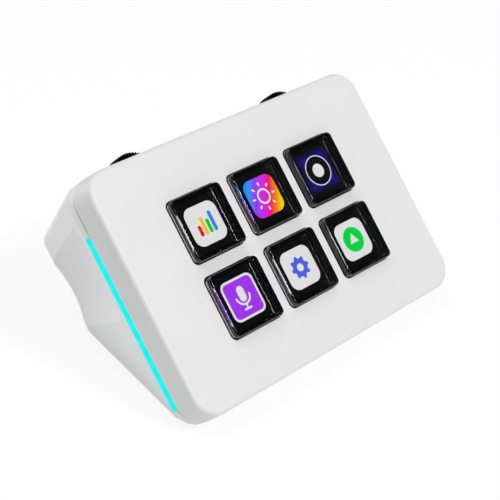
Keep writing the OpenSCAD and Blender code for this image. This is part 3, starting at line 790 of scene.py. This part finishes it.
def buildKey(number, x, y):
    k = keySize
    place = Matrix.Translation((x, y, 0))
    # clear block: one moulding, wider above the skirt
    shape = newBlock(k["cap"], k["cap"], 0, k["height"], k["corner"], steps=8)
    bevelEdges(shape, rimEdges(shape, k["height"]), k["bevel"], steps=1)
    block = makePiece(shape, "keyBlock%d" % number)
    bevelFoot = k["height"] - k["bevel"] - almost
    soften(block, k["capEdge"], steps=2, where=lambda p: p.z > bevelFoot, least=30)
    core = newBlock(k["core"], k["core"], k["bottom"], k["coreTop"], k["corner"] / 2,
                    steps=4)
    carve(block, [core], "UNION")
    soften(block, k["coreEdge"], steps=1, where=lambda p: p.z < k["bottom"] + almost)
    block.data.transform(place)
    finishPiece(block, "key_%d" % number, [clearBlock],
                ["key_cap_%d" % number])
    # black skirt with its flange
    shape = newBlock(k["cap"], k["cap"], k["flangeBottom"], -almost, k["corner"], steps=8)
    skirt = makePiece(shape, "keySkirt%d" % number)
    flange = newBlock(k["flange"], k["flange"], k["flangeBottom"], k["flangeTop"],
                      k["corner"], steps=8)
    carve(skirt, [flange], "UNION")
    bore = k["core"] + 2 * almost
    carve(skirt, [newBlock(bore, bore, k["flangeBottom"] - past, past, k["corner"] / 2,
                           steps=4)])
    soften(skirt, k["skirtEdge"], steps=2)
    skirt.data.transform(place)
    finishPiece(skirt, "key_%d" % number, [blackGloss],
                ["key_skirt_%d" % number])


for number, x, y in keyCentres():
    buildKey(number, x, y)
print("keys built")

# Pictures on the display, as thin layers of flat shapes. step is from layer to layer.
pictureSize = {"tile": 12.3, "corner": 2.9, "level": -2.89, "sheet": 0.02, "step": 0.025}
pictureInks = {
    "white": (0.84, 0.84, 0.85), "black": (0.004, 0.004, 0.005),
    "red": (0.80, 0.01, 0.01), "amber": (0.90, 0.62, 0.01), "green": (0.0, 0.62, 0.05),
    "blue": (0.03, 0.25, 0.80), "violet": (0.38, 0.04, 0.90), "indigo": (0.09, 0.13, 0.78),
    "leaf": (0.0, 0.72, 0.06)}
inkPaints = {name: paintPixels("pixels" + name.capitalize(), ink)
             for name, ink in pictureInks.items()}
sunsetLook = {"slopeX": 0.07, "slopeY": 0.035, "stops": [
    (0.02, (0.0, 0.35, 1.0)), (0.24, (0.25, 0.06, 1.0)), (0.5, (0.75, 0.02, 0.85)),
    (0.68, (0.95, 0.01, 0.12)), (0.84, (1.0, 0.22, 0.0)), (1.0, (1.0, 0.72, 0.0))]}
haloLook = {"reach": 7.0, "fade": 0.55, "rim": (0.003, 0.003, 0.004),
            "middle": (0.012, 0.012, 0.30)}


def paintSunset():  # run of colours from the upper left to the lower right
    look = sunsetLook
    paint = Paint("pixelsSunset", pixelBase)
    spot = paint.faceSpot()
    x, y, _ = paint.parts(spot)
    along = ((x - screenLook["shiftX"]) * look["slopeX"]
             - (y - keyGrid["pitch"] / 2) * look["slopeY"] + 0.5)
    colour = paint.ramp(along, look["stops"])
    paint.set({"Emission Color": paint.mix(pixelGrid(paint, spot), (0, 0, 0), colour)})
    return paint


def paintHalo():  # blue that fades out towards the edge of the tile
    look = haloLook
    paint = Paint("pixelsHalo", pixelBase)
    spot = paint.faceSpot()
    x, y, _ = paint.parts(spot)
    x = (x - screenLook["shiftX"] - keyGrid["pitch"]).size() / look["reach"]
    y = (y - keyGrid["pitch"] / 2).size() / look["reach"]
    glow = paint.add("ShaderNodeMapRange", {"interpolation_type": "SMOOTHSTEP"},
                     {"Value": 1 - x.most(y), "From Max": look["fade"]})
    paint.set({"Emission Color": paint.mix(glow * pixelGrid(paint, spot), look["rim"],
                                           look["middle"])})
    return paint


inkPaints["sunset"] = paintSunset()
inkPaints["halo"] = paintHalo()


def panel(width, height, corner=0.0, x=0.0, y=0.0, turn=0.0):
    shape = bmesh.new()
    bmesh.ops.create_grid(shape, x_segments=1, y_segments=1, size=0.5)
    bmesh.ops.scale(shape, vec=(width, height, 1), verts=shape.verts)
    if corner:
        bevelEdges(shape, shape.verts[:], corner, steps=8, affect="VERTICES")
    return turned(shifted(shape, x, y), turn, "Z")


def disc(radius, steps=48):
    shape = bmesh.new()
    bmesh.ops.create_circle(shape, cap_ends=True, segments=steps, radius=radius)
    return shape


def hoop(outer, inner, start=0.0, sweep=360.0, y=0.0):
    shape = bmesh.new()
    ends = [shape.verts.new((r, 0, 0)) for r in (inner, outer)]
    edge = shape.edges.new(ends)
    full = sweep >= 360
    bmesh.ops.spin(shape, geom=ends + [edge], cent=(0, 0, 0), axis=(0, 0, 1),
                   angle=math.radians(sweep), steps=48 if full else 24, use_merge=full)
    return shifted(turned(shape, start, "Z"), y=y)


def gear(outer, inner, teeth):
    shape = disc(outer, teeth * toothPoints)
    for v in shape.verts:
        if isGap(v.co, teeth):
            v.co *= inner / outer
    return shape


def tile():
    return panel(pictureSize["tile"], pictureSize["tile"], pictureSize["corner"])


def drawPicture(number, x, y, layers):
    # layers of flat shapes, each a hair above the one before
    size = pictureSize
    picture = bmesh.new()
    inks = []
    for step, (ink, shapes) in enumerate(layers):
        if ink not in inks:
            inks.append(ink)
        for shape in shapes:
            grown = bmesh.ops.extrude_face_region(shape, geom=shape.faces[:])
            raised = [v for v in grown["geom"] if isinstance(v, bmesh.types.BMVert)]
            bmesh.ops.translate(shape, vec=(0, 0, size["sheet"]), verts=raised)
            bmesh.ops.recalc_face_normals(shape, faces=shape.faces)
            for face in shape.faces:
                face.material_index = inks.index(ink)
            shifted(shape, x + screenLook["shiftX"], y, size["level"] + step * size["step"])
            joined(picture, shape)
    piece = linkPiece(picture, "picture%d" % number)
    piece.data.transform(toDesk)
    for ink in inks:
        piece.data.materials.append(inkPaints[ink].material)
    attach(piece, "housing")


# the six designs, each as its own sizes and its layers of ink and shapes
chartSize = {"width": 1.25, "corner": 0.6, "foot": -3.2,
             "bars": [("red", -2.7, 3.4), ("amber", -0.9, 5.6), ("green", 0.9, 4.4),
                      ("blue", 2.7, 6.4)]}  # ink, place and height


def chartLayers():
    c = chartSize
    bars = [(ink, [panel(c["width"], tall, c["corner"], left, tall / 2 + c["foot"])])
            for ink, left, tall in c["bars"]]
    return [("white", [tile()])] + bars


sunSize = {"outer": 2.5, "inner": 1.9, "rays": 8, "rayWidth": 0.55, "rayLength": 1.3,
           "rayCorner": 0.27, "rayOut": 4.0}


def sunLayers():
    u = sunSize
    rays = [panel(u["rayWidth"], u["rayLength"], u["rayCorner"], y=u["rayOut"],
                  turn=360 / u["rays"] * i) for i in range(u["rays"])]
    return [("sunset", [tile()]), ("white", [hoop(u["outer"], u["inner"])] + rays)]


ringSize = {"field": 14.0, "disc": 4.9, "outer": 5.0, "inner": 4.7, "button": 2.2}


def ringLayers():
    r = ringSize
    return [("halo", [panel(r["field"], r["field"])]), ("black", [disc(r["disc"])]),
            ("white", [hoop(r["outer"], r["inner"]), disc(r["button"])])]


# each part of the microphone has its width, height and corner, and how far up it is
microphoneSize = {"frame": (12.6, 12.6, 2.2), "field": (11.2, 11.2, 1.6),
                  "head": (2.6, 4.8, 1.3), "headUp": 1.2, "cup": (2.9, 2.3), "cupUp": 0.6,
                  "stem": (0.6, 1.4, 0.1), "stemUp": -2.7, "foot": (3.0, 0.6, 0.3),
                  "footUp": -3.5}


def microphoneLayers():
    m = microphoneSize
    return [("white", [panel(*m["frame"])]), ("violet", [panel(*m["field"])]),
            ("white", [panel(*m["head"], y=m["headUp"]),
                       hoop(*m["cup"], start=180, sweep=180, y=m["cupUp"]),
                       panel(*m["stem"], y=m["stemUp"]), panel(*m["foot"], y=m["footUp"])])]


gearSize = {"outer": 3.6, "inner": 2.8, "teeth": 8, "bore": 1.25}


def gearLayers():
    g = gearSize
    return [("white", [tile()]), ("indigo", [gear(g["outer"], g["inner"], g["teeth"])]),
            ("white", [disc(g["bore"])])]


arrowSize = {"disc": 4.1, "arrow": 2.1}


def arrowLayers():
    return [("white", [tile()]), ("leaf", [disc(arrowSize["disc"])]),
            ("white", [disc(arrowSize["arrow"], steps=3)])]


designs = [chartLayers, sunLayers, ringLayers, microphoneLayers, gearLayers, arrowLayers]
for (number, x, y), layers in zip(keyCentres(), designs):
    drawPicture(number, x, y, layers())
print("pictures drawn")


# Thumbwheels

def newToothed(rings):
    # toothed solid from rings, each cut in from the tooth tips at its depth
    w = wheelSize
    shape = disc(1, w["teeth"] * toothPoints)
    cap = shape.faces[:]
    for number, (cut, depth) in enumerate(rings):
        if number:
            grown = bmesh.ops.extrude_face_region(shape, geom=cap)
            cap = [f for f in grown["geom"] if isinstance(f, bmesh.types.BMFace)]
        for v in cap[0].verts:
            low = w["tooth"] if isGap(v.co, w["teeth"]) else 0
            flat = Vector((v.co.x, v.co.y, 0)).normalized() * (w["radius"] - low - cut)
            v.co = flat + Vector((0, 0, depth))
    return shape


def buildWheel(side, name):
    w = wheelSize
    rear = w["front"] - w["thick"]
    place = side * slope["wheelX"], slope["wheelY"]
    # both rims are rounded in quarter turns, and the front is dished inside a rim
    turns = [math.radians(a) for a in (0, 30, 60, 90)]
    bend = [(w["edge"] * (1 - math.sin(a)), w["edge"] * (1 - math.cos(a))) for a in turns]
    shape = newToothed([(cut, rear + step) for cut, step in bend]
                       + [(cut, w["front"] - step) for cut, step in reversed(bend)]
                       + [(w["rim"], w["front"]), (w["rim"], w["front"] - w["dish"])])
    shifted(turned(shape, w["phase"], "Z"), *place)
    wheel = makePiece(shape, "wheel" + name.capitalize())
    finishPiece(wheel, "thumbwheel_" + name, [wheelPaint],
                ["wheel_" + name], sharp=50)
    shape = newDisc(w["collarRadius"], rear - w["collar"], rear, steps=96)
    bevelEdges(shape, rimEdges(shape, rear - w["collar"]), w["collarEdge"], steps=3)
    collar = makePiece(shifted(shape, *place), "wheelCollar" + name.capitalize())
    finishPiece(collar, "thumbwheel_" + name, [collarPaint],
                ["wheel_collar_" + name])


buildWheel(-1, "left")
buildWheel(1, "right")
print("thumbwheels built")


# USB socket, with its tongue and a row of contact pads

def buildSocket():
    u = usbSize
    back, middle = standRear + u["sunk"], gripSize["middle"]
    shape = newBlock(u["width"], u["height"], back, back + u["length"],
                     u["height"] / 2 - 2 * almost, steps=8)
    mouth = min(shape.faces, key=lambda f: f.calc_center_median().z)
    bmesh.ops.inset_region(shape, faces=[mouth], thickness=u["shell"])
    bmesh.ops.translate(shape, vec=(0, 0, u["length"] - u["floor"]), verts=mouth.verts)
    joined(shape, newBlock(u["tongue"], u["tongueHeight"], back + u["tongueFrom"],
                           back + u["length"] - u["tongueTo"], u["tongueCorner"], steps=3))
    socket = makePiece(shifted(shape, y=middle), "usbSocket")
    finishPiece(socket, "housing", [trayPaint], ["usb_socket"])
    pads = bmesh.new()
    for i in range(u["pads"]):
        pad = newBlock(u["padWidth"], u["padHeight"], back + u["padFrom"],
                       back + u["padTo"], u["padCorner"], steps=2)
        joined(pads, shifted(pad, (i - (u["pads"] - 1) / 2) * u["padPitch"], middle))
    contacts = makePiece(pads, "usbContacts")
    finishPiece(contacts, "housing", [goldPaint])


buildSocket()
print("socket built")

# Finishes of the CAD pieces that stay
keptPaints = {
    "base_cover": shellPlastic, "foot_front": footPaint, "foot_rear": footPaint,
    "key_mat": matPaint, "display_glass": displayPaint, "display_tray": trayPaint,
    "main_board": boardPaint, "usb_board": boardPaint, "encoder_board": boardPaint,
    "led_strip_left": boardPaint, "led_strip_right": boardPaint,
    "board_parts": chipPaint, "encoder_left": encoderPaint, "encoder_right": encoderPaint,
    "encoder_shaft_left": steelPaint, "encoder_shaft_right": steelPaint,
    "board_screws": steelPaint, "encoder_screws": steelPaint, "usb_screws": steelPaint,
    "case_screws": steelPaint, "base_screws": steelPaint}
for node, paint in keptPaints.items():
    kept = frame["nodes"][node]
    kept.data.materials.clear()
    kept.data.materials.append(paint.material)
print("kept nodes painted")

# Floor, lights and camera, in metres. The sky is white to the camera, soft to matt
# surfaces and dark in reflections. Each lamp has a place, a size and a power.
studio = {"floor": 0.9, "floorSize": 3, "glow": 0.82, "white": 1.035,
          "aim": (0, 0, 0.03),
          "sky": {"Is Camera Ray": 1.0, "Is Diffuse Ray": 0.12, "Is Glossy Ray": 0.03,
                  "Is Transmission Ray": 0.03},
          "lamps": [("front", (0.15, -1.5, 1.35), 0.6, 23.4),
                    ("behind", (-0.45, 1.85, 0.35), 0.9, 10.2),
                    ("top", (-0.2, 0.3, 1.9), 2.0, 14.8),
                    ("left", (-1.6, 0.9, 0.6), 0.9, 3.8)]}
viewpoint = {"lens": 101.72, "sensor": 36, "clip": 0.01, "turn": (60, 0, -45),
             "fromFace": (-0.27047, -0.25677, 0.20882)}


def addFloor():
    shape = bmesh.new()
    bmesh.ops.create_grid(shape, x_segments=1, y_segments=1, size=studio["floorSize"])
    floor = linkPiece(shape, "floor")
    paint = Paint("floorPaper", {"Base Color": (studio["floor"],) * 3 + (1,),
                                 "Roughness": 1.0, "Specular IOR Level": 0.0})
    camera, glossy, through = [
        paint.add("ShaderNodeLightPath", output="Is %s Ray" % ray)
        for ray in ("Camera", "Glossy", "Transmission")]
    white = paint.add("ShaderNodeEmission", None, {"Color": (1, 1, 1, 1),
                                                   "Strength": studio["white"]})
    shaded = Wire(paint, paint.shader.outputs[0])
    share = camera.most(glossy.most(through)) * studio["glow"]
    blend = paint.add("ShaderNodeMixShader", None, {0: share, 1: shaded, 2: white})
    paint.feed(paint.tree.nodes["Material Output"].inputs["Surface"], blend)
    floor.data.materials.append(paint.material)


def addLights():
    world = bpy.data.worlds.new("studio")
    bpy.context.scene.world = world
    world.use_nodes = True
    nodes = Nodes(world.node_tree)
    sky = world.node_tree.nodes["Background"]
    level = 0
    for ray, light in studio["sky"].items():
        level = nodes.add("ShaderNodeLightPath", output=ray) * light + level
    nodes.feed(sky.inputs["Color"], (1, 1, 1, 1))
    nodes.feed(sky.inputs["Strength"], level)
    for name, place, size, power in studio["lamps"]:
        lamp = bpy.data.lights.new(name, "AREA")
        lamp.shape = "DISK"
        lamp.size = size
        lamp.energy = power
        holder = bpy.data.objects.new(name, lamp)
        bpy.context.scene.collection.objects.link(holder)
        holder.location = place
        towards = Vector(studio["aim"]) - Vector(place)
        holder.rotation_euler = towards.to_track_quat("-Z", "Y").to_euler()


def addCamera():
    data = bpy.data.cameras.new("camera")
    data.lens = viewpoint["lens"]
    data.sensor_width = viewpoint["sensor"]
    data.clip_start = viewpoint["clip"]
    camera = bpy.data.objects.new("camera", data)
    bpy.context.scene.collection.objects.link(camera)
    camera.location = faceCentre + Vector(viewpoint["fromFace"])
    camera.rotation_euler = [math.radians(a) for a in viewpoint["turn"]]
    bpy.context.scene.camera = camera


addFloor()
addLights()
addCamera()
bpy.context.scene.view_settings.view_transform = "Standard"
print("studio ready")
